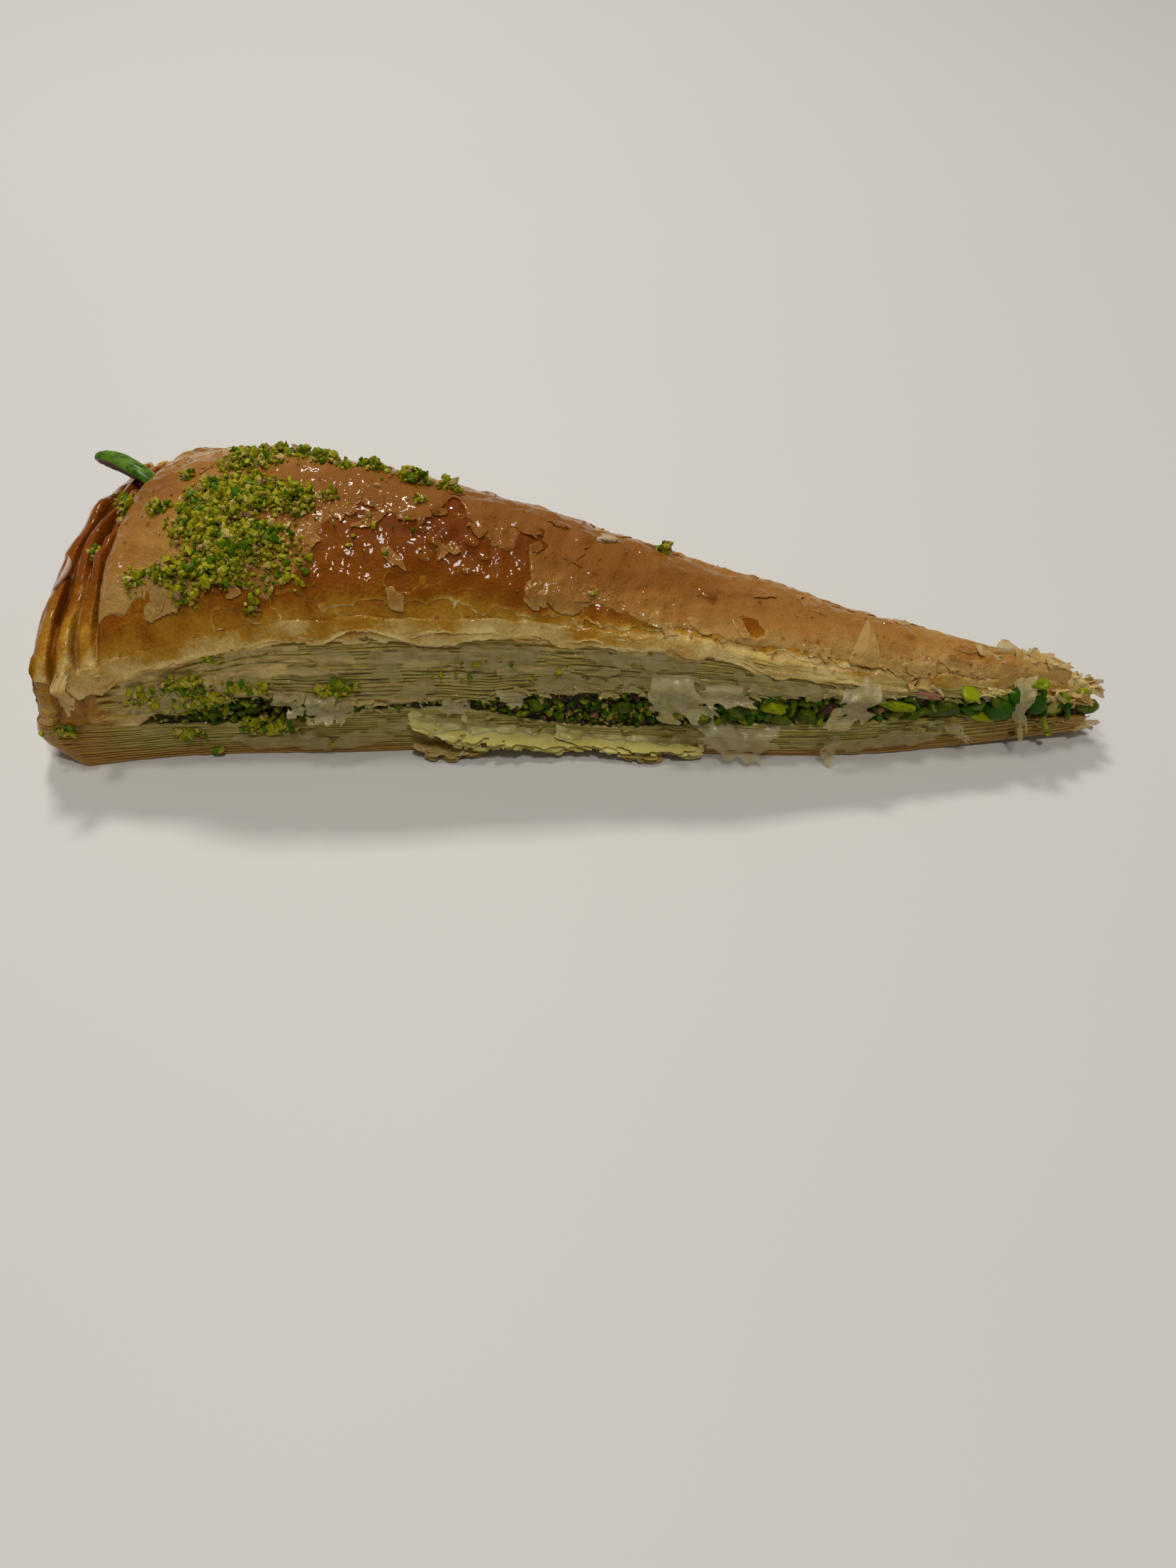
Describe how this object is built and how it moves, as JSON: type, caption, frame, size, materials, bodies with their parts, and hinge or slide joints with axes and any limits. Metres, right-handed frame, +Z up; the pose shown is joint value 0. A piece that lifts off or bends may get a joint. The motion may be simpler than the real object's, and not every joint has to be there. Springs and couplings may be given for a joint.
{
  "type": "baklava piece",
  "caption": "Long wedge of pistachio baklava with a puffed golden crust, a chopped nut filling and syrup-soaked lower sheets, resting flat.",
  "frame": {"origin": "middle of the flat underside, 92.5 mm from the rim end, on the wedge's middle line", "axes": "+X along the wedge from the wide rim end to the tip, -Y towards the near cut face, +Z up"},
  "size_m": [0.1849, 0.058, 0.0421],
  "materials": {
    "baked_pastry": "browned filo crust with a thin coat of syrup, pale and wet where it is cut",
    "soaked_pastry": "pale yellow filo soaked in syrup, browned underneath",
    "chopped_pistachio": "moist chopped green nut with purple-brown skins",
    "slivered_pistachio": "smooth deep green nut flesh with one brown skin face"
  },
  "bodies": {
    "root": {"upper_pastry": "baked_pastry", "lower_pastry": "soaked_pastry", "pistachio_filling": "chopped_pistachio", "pistachio_sliver": "slivered_pistachio"}
  },
  "joints": []
}
